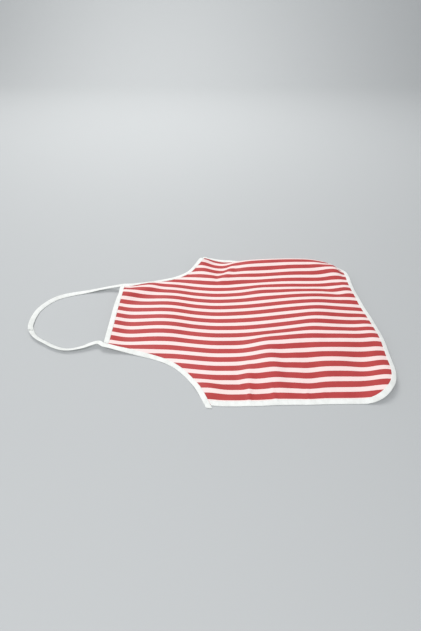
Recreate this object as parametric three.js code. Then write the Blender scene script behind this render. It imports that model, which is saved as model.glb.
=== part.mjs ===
// An oilcloth apron laid out on a flat surface.
// Millimetres, +Z up. The neck loop points to -X, the hem to +X, the far side of the photo to +Y.
import * as THREE from "three";

// Cut size of the cloth, measured on it as if it were pulled flat
const LENGTH = 796;
const BODY_WIDTH = 608;
const FAR_BIB = 131;
const NEAR_BIB = 137;
const FAR_ARMHOLE = 276;
const NEAR_ARMHOLE = 290;
const HEM_CORNER = 112;

// Armhole curve: how much of it is a straight slant, and how sharply the rest flares at its end
const SLANT = 0.4;
const FLARE = 5.3;

// Walls
const CLOTH = 1.0;
const TAPE_PLY = 1.0;
const TAPE_WIDTH = 13;
const SEW_GAP = 0.3;
const SEAM_GAP = 1.2;
const FOLDED_SLIT = 0.3;
const STUB = 9.5;

// Neck loop
const LOOP_DEPTH = 240;
const LOOP_SPREAD = 130;
const LOOP_HEIGHT = 10;
const SLIT_RUN = 14;

// How the cloth lies
const RELIEF = 34;
const SAG = 2.5;
const SOFTNESS = 1.0;
const VALLEY = 330;
const FAR_EDGE_SHARE = 0.35;
const FAR_EDGE_DROP = 38;
const BIB_DRIFT = 12;
const BIB_DRIFT_START = 330;
const BIB_DRIFT_RUN = 150;
const HEM_DRIFT = 4;
const HEM_DRIFT_START = 400;
const HEM_DRIFT_RUN = 220;
const HEM_PUSH = 15;
const HEM_PUSH_ACROSS = 0.34;
const HEM_PUSH_SPREAD = 0.30;

// Mesh fineness
const ARMHOLE_STEPS = 15;
const SIDE_STEPS = 19;
const CORNER_STEPS = 8;
const ROWS = 26;
const STRAP_STEPS = 30;
const ARC_STEPS = 40;
const STEP_EASE = 0.45;
const PROBE = 1.0;

const HALF = BODY_WIDTH / 2;
const SLOT = CLOTH / 2 + SEW_GAP;
const TAPE_FACE = SLOT + TAPE_PLY;
const WEB_IN = SEW_GAP;
const WEB_OUT = SEW_GAP + TAPE_PLY;

// Folds, one a row. Places are shares of the length and of half the body's width, reaches and
// spreads are shares of half the body's width, rises are shares of the relief, turns are degrees.
// name, along, across, turn, reach, spread, rise, level along its reach
const FOLDS = [
  ["hem dome", 0.805, -0.05, 90, 0.72, 0.66, 0.82, true],
  ["far ridge", 0.70, 0.84, 0, 0.62, 0.22, 1.0, true],
  ["far edge drop", 0.70, 1.0, 0, 0.62, 0.07, -0.4, true],
  ["far hem rim", 0.95, 0.46, -80, 0.30, 0.13, 0.37, true],
  ["far hem shoulder", 0.90, 0.68, -30, 0.17, 0.10, 0.35, false],
  ["far hem lip", 1.0, 0.60, 90, 0.20, 0.06, 0.25, false],
  ["far corner fall", 0.97, 0.93, -45, 0.20, 0.10, -0.30, false],
  ["slant ridge", 0.765, -0.15, 60, 0.36, 0.13, 0.12, false],
  ["near ripple", 0.57, -0.585, 85, 0.22, 0.12, 0.27, false],
  ["near crease", 0.64, -0.34, 0, 0.30, 0.09, 0.22, false],
  ["near hem ridge", 0.945, -0.36, 0, 0.36, 0.11, 0.18, false],
  ["near hem rim", 0.97, -0.45, 90, 0.42, 0.11, 0.25, true],
  ["far hollow", 0.80, 0.43, 0, 0.26, 0.115, -0.15, false],
  ["pinch", 0.91, 0.33, -20, 0.12, 0.06, -0.12, false],
  ["far corner lift", 0.345, 1.0, 60, 0.19, 0.15, 1.2, false],
  ["far shelf", 0.405, 0.60, 0, 0.38, 0.09, 0.24, true],
  ["far shelf end", 0.35, 0.74, 0, 0.15, 0.10, 0.40, false],
  ["dent", 0.41, 0.62, 90, 0.08, 0.035, -0.09, false],
  ["bib top", 0.0, 0.03, 90, 0.52, 0.14, 0.61, true],
  ["bib far crease", 0.083, 0.335, 26, 0.21, 0.10, 0.42, true],
  ["bib rise", 0.188, 0.07, 90, 0.53, 0.26, 0.35, true],
  ["far armhole edge", 0.115, 0.46, 10, 0.23, 0.10, 0.12, false],
  ["near bib edge", 0.06, -0.47, 0, 0.30, 0.055, 0.20, false],
  ["near hem corner", 0.94, -0.87, 70, 0.2, 0.14, 0.38, false],
  ["near corner lift", 0.375, -0.85, -20, 0.14, 0.09, 0.28, false],
  ["near pucker", 0.505, -0.74, 82, 0.16, 0.065, 0.20, false],
  ["near hollow", 0.718, -0.76, 90, 0.30, 0.10, -0.14, false],
];

// Neck loop, one place of the tape's middle a row: share of the loop's depth behind the bib,
// share of its spread towards +Y, share of its height, and how far its outer edge is tipped up.
// back, aside, height, tip
const FAR_LOOP = [
  [0.15, 1.045, 1.0, -12],
  [0.29, 0.99, 0.75, -12],
  [0.455, 0.925, 0.5, 0],
  [0.625, 0.84, 0.42, 12],
  [0.75, 0.755, 0.42, 18],
  [0.845, 0.65, 0.45, 22],
  [0.935, 0.455, 0.48, 24],
  [0.995, 0.23, 0.62, 22],
  [1.015, 0.02, 0.72, 20],
  [1.005, -0.155, 0.75, 18],
  [0.98, -0.305, 0.75, 18],
];
const NEAR_LOOP = [
  [0.07, -0.825, 1.15, 10],
  [0.16, -0.872, 1.0, 12],
  [0.217, -0.92, 0.8, 15],
  [0.295, -0.96, 0.6, 20],
  [0.38, -0.99, 0.45, 22],
  [0.465, -0.985, 0.42, 22],
  [0.53, -0.955, 0.42, 20],
  [0.615, -0.89, 0.42, 18],
  [0.717, -0.79, 0.42, 18],
  [0.82, -0.685, 0.42, 20],
  [0.907, -0.556, 0.42, 22],
  [0.965, -0.404, 0.42, 20],
  [0.99, -0.20, 0.40, 18],
];

function smooth(t) {
  const s = Math.min(Math.max(t, 0), 1);
  return s * s * (3 - 2 * s);
}

function drift(u) {
  return BIB_DRIFT * smooth((BIB_DRIFT_START - u) / BIB_DRIFT_RUN)
    + HEM_DRIFT * smooth((u - HEM_DRIFT_START) / HEM_DRIFT_RUN);
}

// Height of the cloth's middle over the surface it lies on
function lift(u, v) {
  let relief = 0;
  for (const [, along, across, turn, reach, spread, rise, level] of FOLDS) {
    const angle = THREE.MathUtils.degToRad(turn);
    const du = u - along * LENGTH;
    const dv = v - across * HALF;
    const p = (du * Math.cos(angle) + dv * Math.sin(angle)) / (reach * HALF);
    const q = (dv * Math.cos(angle) - du * Math.sin(angle)) / (spread * HALF);
    relief += rise * RELIEF * Math.exp(-(level ? p ** 4 : p ** 2) - q ** 2);
  }
  const held = FAR_EDGE_SHARE + (1 - FAR_EDGE_SHARE) * smooth((HALF - v) / FAR_EDGE_DROP);
  const free = relief * held - SAG;
  if (free > SOFTNESS) {
    return free + TAPE_FACE;
  }
  return TAPE_FACE + Math.max(free + SOFTNESS, 0) ** 2 / (4 * SOFTNESS);
}

// How far a straight run of cloth is drawn in by the slopes along it
function drawnIn(from, to, heightAt) {
  let lost = 0;
  for (let i = 0; i < ARC_STEPS; i += 1) {
    const here = from + (to - from) * (i + 0.5) / ARC_STEPS;
    const slope = (heightAt(here + PROBE) - heightAt(here - PROBE)) / (2 * PROBE);
    lost += 1 - Math.sqrt(Math.max(1 - slope ** 2, 0));
  }
  return (to - from) * lost / ARC_STEPS;
}

// How far the hem is pushed in towards the bib where its far half is gathered
function push(u, v) {
  const side = (v / HALF - HEM_PUSH_ACROSS) / HEM_PUSH_SPREAD;
  return HEM_PUSH * Math.exp(-(side ** 2)) * smooth((u - VALLEY) / (LENGTH - VALLEY));
}

function place(u, v) {
  const x = u - drawnIn(VALLEY, u, (here) => lift(here, v)) - push(u, v);
  const y = v - drawnIn(0, v, (here) => lift(u, here)) + drift(u);
  return new THREE.Vector3(x, y, lift(u, v));
}

// A point of the cloth: where it is cut, where it lies, and which way it faces
function node(u, v) {
  const along = place(u + PROBE, v).sub(place(u - PROBE, v));
  const across = place(u, v + PROBE).sub(place(u, v - PROBE));
  return { u, v, at: place(u, v), up: along.cross(across).normalize() };
}

function between(a, b, share) {
  return { at: a.at.clone().lerp(b.at, share), up: a.up.clone().lerp(b.up, share).normalize() };
}

// Half width of the armhole part at a share of the armhole's depth, and its slope there
function armhole(share, depth, side) {
  const bib = side > 0 ? FAR_BIB : NEAR_BIB;
  const rise = HALF - bib;
  return {
    half: bib + rise * (SLANT * share + (1 - SLANT) * share ** FLARE),
    slope: rise * (SLANT + (1 - SLANT) * FLARE * share ** (FLARE - 1)) / depth,
  };
}

// The two points of a tape's width at the armhole. At the bib both lie on the bib's edge.
function armholePair(share, depth, side) {
  const { half, slope } = armhole(share, depth, side);
  const u = share * depth;
  const square = new THREE.Vector2(slope, -1).normalize();
  const inward = new THREE.Vector2(0, -1).lerp(square, smooth(u / (3 * TAPE_WIDTH))).normalize();
  const reach = TAPE_WIDTH / inward.dot(square);
  return {
    outer: node(u, side * half),
    inner: node(u + inward.x * reach, side * (half + inward.y * reach)),
  };
}

// The same at the point where the armhole meets the side
function cornerPairs(depth, side) {
  const { slope } = armhole(1, depth, side);
  const across = TAPE_WIDTH * Math.hypot(1, slope) / slope;
  return [
    {
      outer: node(depth, side * HALF),
      inner: node(depth + across - TAPE_WIDTH / slope, side * (HALF - TAPE_WIDTH)),
    },
    {
      outer: node(depth + across, side * HALF),
      inner: node(depth + across, side * (HALF - TAPE_WIDTH)),
    },
  ];
}

function sidePair(u, side) {
  return { outer: node(u, side * HALF), inner: node(u, side * (HALF - TAPE_WIDTH)) };
}

function hemCornerPair(turn, side) {
  const arc = (radius) => node(
    LENGTH - HEM_CORNER + radius * Math.sin(turn),
    side * (HALF - HEM_CORNER + radius * Math.cos(turn)),
  );
  return { outer: arc(HEM_CORNER), inner: arc(HEM_CORNER - TAPE_WIDTH) };
}

function borderPairs(depth, side) {
  const pairs = [];
  pairs.push(armholePair(0, depth, side));
  for (let i = 0; i + 1 < ARMHOLE_STEPS; i += 1) {
    const t = i / (ARMHOLE_STEPS - 1);
    const share = t + STEP_EASE * t * (1 - t);
    const bound = TAPE_WIDTH / depth;
    pairs.push(armholePair(bound + (1 - bound) * share, depth, side));
  }
  pairs.push(...cornerPairs(depth, side));
  const start = pairs.at(-1).outer.u;
  const end = LENGTH - HEM_CORNER;
  for (let i = 1; i < SIDE_STEPS; i += 1) {
    pairs.push(sidePair(start + (end - start) * i / SIDE_STEPS, side));
  }
  for (let i = 0; i <= CORNER_STEPS; i += 1) {
    pairs.push(hemCornerPair(Math.PI / 2 * i / CORNER_STEPS, side));
  }
  return pairs;
}

const near = borderPairs(NEAR_ARMHOLE, -1);
const far = borderPairs(FAR_ARMHOLE, 1);

// Lines of points across the cloth, one for each pair of the borders
const lines = near.map((pair, i) => {
  const a = pair.inner;
  const b = far[i].inner;
  const inside = [];
  for (let j = 1; j < ROWS; j += 1) {
    inside.push(node(a.u + (b.u - a.u) * j / ROWS, a.v + (b.v - a.v) * j / ROWS));
  }
  return [pair.outer, a, ...inside, b, far[i].outer];
});
const hemInner = lines.at(-1).slice(1, -1);
const hemOuter = hemInner.map((point, j) => {
  if (j === 0) {
    return near.at(-1).outer;
  }
  return j === ROWS ? far.at(-1).outer : node(LENGTH, point.v);
});

// Triangles of a strip between two lines of points. A flipped cell has its other diagonal.
function strip(first, second, flipped = () => false) {
  const triangles = [];
  for (let j = 0; j + 1 < first.length; j += 1) {
    const [a, b, c, d] = [first[j], second[j], second[j + 1], first[j + 1]];
    if (flipped(j)) {
      triangles.push([a, b, d], [b, c, d]);
    } else {
      triangles.push([a, b, c], [a, c, d]);
    }
  }
  return triangles;
}

// Closes a sheet of triangles into one solid wall of the cloth's thickness
function wall(triangles) {
  const corners = [];
  const edges = new Map();
  const numbers = new Map();
  const number = (point) => {
    if (!numbers.has(point)) {
      numbers.set(point, numbers.size);
    }
    return numbers.get(point);
  };
  const top = (point) => point.at.clone().addScaledVector(point.up, CLOTH / 2);
  const bottom = (point) => point.at.clone().addScaledVector(point.up, -CLOTH / 2);
  for (const [a, b, c] of triangles) {
    corners.push(top(a), top(b), top(c), bottom(c), bottom(b), bottom(a));
    for (const [from, to] of [[a, b], [b, c], [c, a]]) {
      edges.set(`${number(from)} ${number(to)}`, [from, to]);
    }
  }
  for (const [from, to] of edges.values()) {
    if (!edges.has(`${number(to)} ${number(from)}`)) {
      corners.push(bottom(from), bottom(to), top(to), bottom(from), top(to), top(from));
    }
  }
  return new THREE.BufferGeometry().setFromPoints(corners);
}

// A solid's triangles, turned over where they face inwards
function facingOut(corners) {
  let volume = 0;
  for (let i = 0; i < corners.length; i += 3) {
    volume += corners[i].dot(corners[i + 1].clone().cross(corners[i + 2]));
  }
  return new THREE.BufferGeometry().setFromPoints(volume < 0 ? corners.reverse() : corners);
}

// The corners of a tape's section are numbered as tapeRing lists them.
// Faces whose corners run from the section's inner line to its outer one
const OUTWARD_FACES = [0, 4];
// Triangles that close the end of a tape
const SECTION_CAP = [[7, 0, 1], [7, 1, 6], [6, 1, 2], [6, 2, 5], [5, 2, 3], [5, 3, 4]];

// Joins rings of points into one closed solid
function loft(rings) {
  const corners = [];
  const count = rings[0].length;
  for (let i = 0; i + 1 < rings.length; i += 1) {
    for (let k = 0; k < count; k += 1) {
      const next = (k + 1) % count;
      const [a, b] = [rings[i][k], rings[i][next]];
      const [c, d] = [rings[i + 1][next], rings[i + 1][k]];
      if (OUTWARD_FACES.includes(k)) {
        corners.push(a, b, d, b, c, d);
      } else {
        corners.push(a, b, c, a, c, d);
      }
    }
  }
  for (const [ring, turned] of [[rings[0], true], [rings.at(-1), false]]) {
    for (const [a, b, c] of SECTION_CAP) {
      const cap = [ring[a], ring[b], ring[c]];
      corners.push(...(turned ? cap.reverse() : cap));
    }
  }
  return facingOut(corners);
}

// Section of a tape folded round an edge: over it, past it and under it
function tapeRing(outer, inner, outward, slot) {
  const face = slot + TAPE_PLY;
  const at = (point, reach, height) => point.at.clone()
    .addScaledVector(outward, reach).addScaledVector(point.up, height);
  return [
    at(inner, 0, face), at(outer, WEB_OUT, face), at(outer, WEB_OUT, -face), at(inner, 0, -face),
    at(inner, 0, -slot), at(outer, WEB_IN, -slot), at(outer, WEB_IN, slot), at(inner, 0, slot),
  ];
}

// The rings of a tape along a border. The cloth lies to the side its inner points are on.
function tapeRings(pairs, slotAt = () => SLOT) {
  return pairs.map((pair, i) => {
    const ahead = pairs[Math.min(i + 1, pairs.length - 1)].outer.at;
    const behind = pairs[Math.max(i - 1, 0)].outer.at;
    const outward = ahead.clone().sub(behind).cross(pair.outer.up).normalize();
    if (outward.dot(pair.outer.at.clone().sub(pair.inner.at)) < 0) {
      outward.negate();
    }
    return tapeRing(pair.outer, pair.inner, outward, slotAt(i));
  });
}

// Half of the neck loop, from the bib's corner to its end at the nape
function loopPairs(rows, corner) {
  const middle = corner.outer.at.clone().lerp(corner.inner.at, 0.5);
  const width = corner.outer.at.distanceTo(corner.inner.at);
  const side = Math.sign(corner.outer.v);
  const points = rows.map(([back, aside, height]) => new THREE.Vector3(
    -back * LOOP_DEPTH,
    aside * LOOP_SPREAD,
    height * LOOP_HEIGHT,
  ));
  const path = new THREE.CatmullRomCurve3([middle, ...points], false, "centripetal");
  const first = corner.outer.at.clone().sub(corner.inner.at).normalize();
  const pairs = [];
  for (let i = 1; i <= STRAP_STEPS; i += 1) {
    const t = i / STRAP_STEPS;
    const spot = t * rows.length;
    const row = Math.min(Math.floor(spot), rows.length - 1);
    const tips = [row === 0 ? 0 : rows[row - 1][3], rows[row][3]];
    const tip = THREE.MathUtils.degToRad(tips[0] + (tips[1] - tips[0]) * (spot - row));
    const ahead = path.getTangent(t);
    const level = new THREE.Vector3(ahead.y, -ahead.x, 0).normalize().multiplyScalar(side);
    const tipped = level.multiplyScalar(Math.cos(tip)).setZ(Math.sin(tip));
    const out = first.clone().lerp(tipped, smooth(spot)).normalize();
    const up = out.clone().cross(ahead).multiplyScalar(side).normalize();
    const at = path.getPoint(t);
    pairs.push({
      outer: { at: at.clone().addScaledVector(out, width / 2), up },
      inner: { at: at.clone().addScaledVector(out, -width / 2), up },
    });
  }
  return pairs;
}

// Binding of one armhole, running on as half of the neck loop and ending as a stub at the side
function halter(pairs, rows) {
  const loop = loopPairs(rows, pairs[0]).reverse();
  const bound = pairs.slice(0, ARMHOLE_STEPS + 1);
  const corner = pairs[ARMHOLE_STEPS];
  const side = pairs[ARMHOLE_STEPS + 1].outer;
  const along = side.at.clone().sub(corner.inner.at).setZ(0);
  const run = along.length();
  const shifted = (point, distance) => ({
    at: point.at.clone().addScaledVector(along, distance / run),
    up: point.up,
  });
  const stub = [
    { outer: shifted(corner.outer, STUB / 2), inner: side },
    { outer: shifted(corner.outer, STUB), inner: shifted(side, STUB) },
  ];
  const slotAt = (i) => {
    const gone = Math.max(loop.length - i, 0) / loop.length * LOOP_DEPTH;
    return SLOT + (FOLDED_SLIT / 2 - SLOT) * smooth(gone / SLIT_RUN);
  };
  return loft(tapeRings([...loop, ...bound, ...stub], slotAt));
}

// Binding of the sides and the hem, from one side's corner round to the other's
function hemBinding() {
  const sideStart = (pairs) => {
    const [corner, first, second] = pairs.slice(ARMHOLE_STEPS, ARMHOLE_STEPS + 3);
    const share = SEAM_GAP / first.outer.at.distanceTo(second.outer.at);
    const inShare = SEAM_GAP / corner.inner.at.distanceTo(first.inner.at);
    return [
      { outer: between(first.outer, second.outer, share), inner: between(corner.inner, first.inner, inShare) },
      { outer: between(first.outer, second.outer, 2 * share), inner: first.inner },
    ];
  };
  const rest = (pairs) => pairs.slice(ARMHOLE_STEPS + 2);
  const hem = hemOuter.slice(1, -1).map((outer, j) => ({ outer, inner: hemInner[j + 1] }));
  return loft(tapeRings([
    ...sideStart(near), ...rest(near), ...hem, ...rest(far).reverse(), ...sideStart(far).reverse(),
  ]));
}

function bibBinding() {
  const outer = lines[0].slice(1, -1);
  const inner = lines[1].slice(1, -1);
  const share = SEAM_GAP / outer[0].at.distanceTo(outer[1].at);
  const pairs = outer.map((point, j) => ({ outer: point, inner: inner[j] }));
  const end = (a, b) => ({
    outer: between(a.outer, b.outer, share),
    inner: between(a.inner, b.inner, share),
  });
  pairs[0] = end(pairs[0], pairs[1]);
  pairs[ROWS] = end(pairs[ROWS], pairs[ROWS - 1]);
  return loft(tapeRings(pairs));
}

// The cloth's cells are split the same way as the tapes that lie on them
const farBorder = ROWS + 1;
const cloth = [];
for (let i = 0; i + 1 < lines.length; i += 1) {
  const flipped = (j) => (i < ARMHOLE_STEPS && j === farBorder) || (i === ARMHOLE_STEPS && j === 0);
  cloth.push(...strip(lines[i], lines[i + 1], flipped));
}
cloth.push(...strip(hemInner, hemOuter, () => true));

const redCloth = new THREE.MeshStandardMaterial({ color: 0xc8504c, roughness: 0.45 });
const whiteTape = new THREE.MeshStandardMaterial({ color: 0xf6f6f0, roughness: 0.8 });
const apron = new THREE.Group();
apron.name = "oilcloth_apron";

function add(name, geometry, material) {
  geometry.computeVertexNormals();
  const mesh = new THREE.Mesh(geometry, material.clone());
  mesh.name = name;
  apron.add(mesh);
}

add("oilcloth_panel", wall(cloth), redCloth);
add("bib_binding", bibBinding(), whiteTape);
add("hem_binding", hemBinding(), whiteTape);
add("halter_tape_near", halter(near, NEAR_LOOP), whiteTape);
add("halter_tape_far", halter(far, FAR_LOOP), whiteTape);

// The origin goes under the middle of the whole, on the surface it lies on
const box = new THREE.Box3().setFromObject(apron);
const middle = box.getCenter(new THREE.Vector3());
for (const mesh of apron.children) {
  mesh.geometry.translate(-middle.x, -middle.y, -box.min.z);
}

export default apron;
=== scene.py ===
"""The looks of an oilcloth apron that lies flat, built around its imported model.

Lengths are metres. The cloth is first worked out on its plan, which has its own origin at the
middle of the bib's edge: u runs along the apron to the hem, v across it to the far side. The plan
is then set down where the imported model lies.
"""

import logging
import math
from dataclasses import dataclass, field
from enum import Enum
from typing import Callable, Sequence

import bpy
import numpy as np
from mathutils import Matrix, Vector


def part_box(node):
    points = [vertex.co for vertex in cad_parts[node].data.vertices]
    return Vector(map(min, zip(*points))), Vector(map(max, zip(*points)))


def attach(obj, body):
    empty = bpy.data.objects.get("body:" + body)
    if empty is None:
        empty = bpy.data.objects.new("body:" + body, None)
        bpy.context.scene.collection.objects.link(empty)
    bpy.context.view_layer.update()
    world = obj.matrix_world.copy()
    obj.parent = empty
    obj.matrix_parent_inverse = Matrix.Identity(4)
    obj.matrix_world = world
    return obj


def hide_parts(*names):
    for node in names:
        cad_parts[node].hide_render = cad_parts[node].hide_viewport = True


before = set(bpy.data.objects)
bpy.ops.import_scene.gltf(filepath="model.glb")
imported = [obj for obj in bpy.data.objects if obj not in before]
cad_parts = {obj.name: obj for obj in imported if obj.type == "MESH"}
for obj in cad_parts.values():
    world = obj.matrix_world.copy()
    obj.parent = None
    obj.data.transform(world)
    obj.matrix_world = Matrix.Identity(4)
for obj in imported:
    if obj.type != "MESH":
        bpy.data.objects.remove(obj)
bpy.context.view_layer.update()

LOG = logging.getLogger("apron")
MM = 0.001

Array = np.ndarray


class Side(Enum):
    """A side of the apron as it lies, with its sign across the plan."""

    NEAR = -1
    FAR = 1


class Face(Enum):
    """A face of the cloth, with its sign along the cloth's normal."""

    TOP = 1
    UNDER = -1


def smooth(t: Array | float) -> Array:
    """An S-shaped step from 0 at t = 0 to 1 at t = 1."""
    s = np.clip(t, 0.0, 1.0)
    return s * s * (3.0 - 2.0 * s)


def unit(vectors: Array) -> Array:
    """The vectors at length one."""
    return vectors / np.maximum(np.linalg.norm(vectors, axis=-1, keepdims=True), 1e-12)


@dataclass(frozen=True)
class Fold:
    """One rise or hollow of the lying cloth.

    Its place is a share of the length and of half the body's width, its reach and spread are
    shares of half the body's width, its rise a share of the relief and its turn in degrees.
    """

    name: str
    along: float
    across: float
    turn: float
    reach: float
    spread: float
    rise: float
    level: bool = False


MAIN_FOLDS = (
    Fold("hem dome", 0.805, -0.05, 90, 0.72, 0.66, 0.82, True),
    Fold("far ridge", 0.70, 0.84, 0, 0.62, 0.22, 1.0, True),
    Fold("far edge drop", 0.70, 1.0, 0, 0.62, 0.07, -0.4, True),
    Fold("far hem rim", 0.95, 0.46, -80, 0.30, 0.13, 0.37, True),
    Fold("far hem shoulder", 0.90, 0.68, -30, 0.17, 0.10, 0.35),
    Fold("far hem lip", 1.0, 0.60, 90, 0.20, 0.06, 0.25),
    Fold("far corner fall", 0.97, 0.93, -45, 0.20, 0.10, -0.30),
    Fold("slant ridge", 0.765, -0.15, 60, 0.36, 0.13, 0.12),
    Fold("near ripple", 0.57, -0.585, 85, 0.22, 0.12, 0.27),
    Fold("near crease", 0.64, -0.34, 0, 0.30, 0.09, 0.22),
    Fold("near hem ridge", 0.945, -0.36, 0, 0.36, 0.11, 0.18),
    Fold("near hem rim", 0.97, -0.45, 90, 0.42, 0.11, 0.25, True),
    Fold("far hollow", 0.80, 0.43, 0, 0.26, 0.115, -0.15),
    Fold("pinch", 0.91, 0.33, -20, 0.12, 0.06, -0.12),
    Fold("far corner lift", 0.345, 1.0, 60, 0.19, 0.15, 1.2),
    Fold("far shelf", 0.405, 0.60, 0, 0.38, 0.09, 0.24, True),
    Fold("far shelf end", 0.35, 0.74, 0, 0.15, 0.10, 0.40),
    Fold("dent", 0.41, 0.62, 90, 0.08, 0.035, -0.09),
    Fold("bib top", 0.0, 0.03, 90, 0.52, 0.14, 0.61, True),
    Fold("bib far crease", 0.083, 0.335, 26, 0.21, 0.10, 0.42, True),
    Fold("bib rise", 0.188, 0.07, 90, 0.53, 0.26, 0.35, True),
    Fold("far armhole edge", 0.115, 0.46, 10, 0.23, 0.10, 0.12),
    Fold("near bib edge", 0.06, -0.47, 0, 0.30, 0.055, 0.20),
    Fold("near hem corner", 0.94, -0.87, 70, 0.2, 0.14, 0.38),
    Fold("near corner lift", 0.375, -0.85, -20, 0.14, 0.09, 0.28),
    Fold("near pucker", 0.505, -0.74, 82, 0.16, 0.065, 0.20),
    Fold("near hollow", 0.718, -0.76, 90, 0.30, 0.10, -0.14),
)

FINE_FOLDS = (
    Fold("bib far swell", 0.068, 0.21, 90, 0.27, 0.085, 0.12),
    Fold("bib corner swell", 0.035, 0.26, -35, 0.12, 0.06, 0.06),
    Fold("bib top swell", 0.105, 0.10, 90, 0.26, 0.10, 0.10),
    Fold("far bib rim", 0.045, 0.46, 8, 0.15, 0.04, 0.12),
    Fold("bib edge dip", 0.0, -0.15, 90, 0.16, 0.10, -0.09),
    Fold("middle hollow", 0.56, -0.18, 0, 0.40, 0.17, -0.08),
    Fold("valley hollow", 0.485, -0.38, 20, 0.13, 0.09, -0.07),
    Fold("far swell", 0.59, 0.37, 0, 0.17, 0.12, 0.17),
    Fold("far flank", 0.64, 0.71, 0, 0.27, 0.09, -0.16),
    Fold("far fold", 0.465, 0.72, 58, 0.12, 0.05, 0.20),
    Fold("far fold foot", 0.455, 0.50, 0, 0.09, 0.05, -0.05),
    Fold("near ridge", 0.605, -0.74, 95, 0.26, 0.07, 0.13),
    Fold("hem furrow", 0.89, -0.61, -15, 0.17, 0.09, -0.11),
    Fold("hem middle furrow", 0.84, -0.20, 0, 0.20, 0.05, -0.05),
    Fold("near side pucker", 0.505, -0.91, 84, 0.08, 0.020, 0.11),
    Fold("near side crease", 0.482, -0.84, -50, 0.10, 0.020, -0.07),
    Fold("near side pucker", 0.585, -0.92, 96, 0.09, 0.020, 0.10),
    Fold("near side pucker", 0.693, -0.92, 80, 0.08, 0.022, 0.11),
    Fold("near side pucker", 0.745, -0.93, 92, 0.07, 0.022, 0.08),
    Fold("far hem rim end", 0.935, 0.75, -60, 0.12, 0.07, 0.23),
    Fold("far hem bend", 0.935, 0.45, 0, 0.07, 0.09, -0.10),
    Fold("far hem nip", 0.935, 0.25, -14, 0.08, 0.026, -0.12),
)


@dataclass(frozen=True)
class Pull:
    """A stretch of the cloth that lies shifted over the surface.

    Its place and size are shares as a fold's are, and its shift is in metres.
    """

    name: str
    along: float
    across: float
    reach: float
    spread: float
    shift_x: float
    shift_y: float


PULLS = (
    Pull("bib edge", 0.0, 0.28, 0.20, 0.13, 3.6 * MM, 0.0),
    Pull("near side slack", 0.70, -0.80, 0.11, 0.28, 0.0, -3.4 * MM),
    Pull("near hem slack", 0.895, -0.68, 0.10, 0.12, 0.0, -2.2 * MM),
    Pull("far hem tuck", 1.0, 0.54, 0.16, 0.15, -5.5 * MM, 0.0),
)


@dataclass(frozen=True)
class ApronCut:
    """The cloth's cut, measured as if it were pulled flat."""

    length: float = 0.796
    body_width: float = 0.608
    far_bib: float = 0.131
    near_bib: float = 0.137
    far_armhole: float = 0.276
    near_armhole: float = 0.290
    hem_corner: float = 0.112
    slant: float = 0.4
    flare: float = 5.3
    tape_width: float = 0.013

    @property
    def half(self) -> float:
        """Half of the body's width."""
        return self.body_width / 2

    def depth(self, side: Side) -> float:
        """How far the armhole of a side reaches down from the bib's edge."""
        return self.far_armhole if side is Side.FAR else self.near_armhole

    def armhole(self, share: Array | float, side: Side) -> tuple[Array, Array]:
        """The armhole's curve.

        Args:
            share: Shares of the armhole's depth, from 0 at the bib to 1 at the side.
            side: The side that the armhole is on.

        Returns:
            The cloth's half width at those shares, and how fast it grows along u.
        """
        bib = self.far_bib if side is Side.FAR else self.near_bib
        rise = self.half - bib
        curve = self.slant * share + (1 - self.slant) * share**self.flare
        slope = self.slant + (1 - self.slant) * self.flare * share ** (self.flare - 1)
        return bib + rise * curve, rise * slope / self.depth(side)

    def area(self) -> float:
        """Works out how large the cut is.

        Returns:
            Its area.
        """
        shares = (np.arange(400) + 0.5) / 400
        arms = sum(np.mean(self.armhole(shares, side)[0]) * self.depth(side) for side in Side)
        body = sum((self.length - self.depth(side)) * self.half for side in Side)
        corners = 2 * (1 - math.pi / 4) * self.hem_corner**2
        return float(arms + body - corners)


@dataclass(frozen=True)
class Fineness:
    """How many steps each stretch of the cloth's mesh has."""

    armhole: int = 64
    side: int = 96
    corner: int = 26
    rows: int = 132
    ease: float = 0.45


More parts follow.
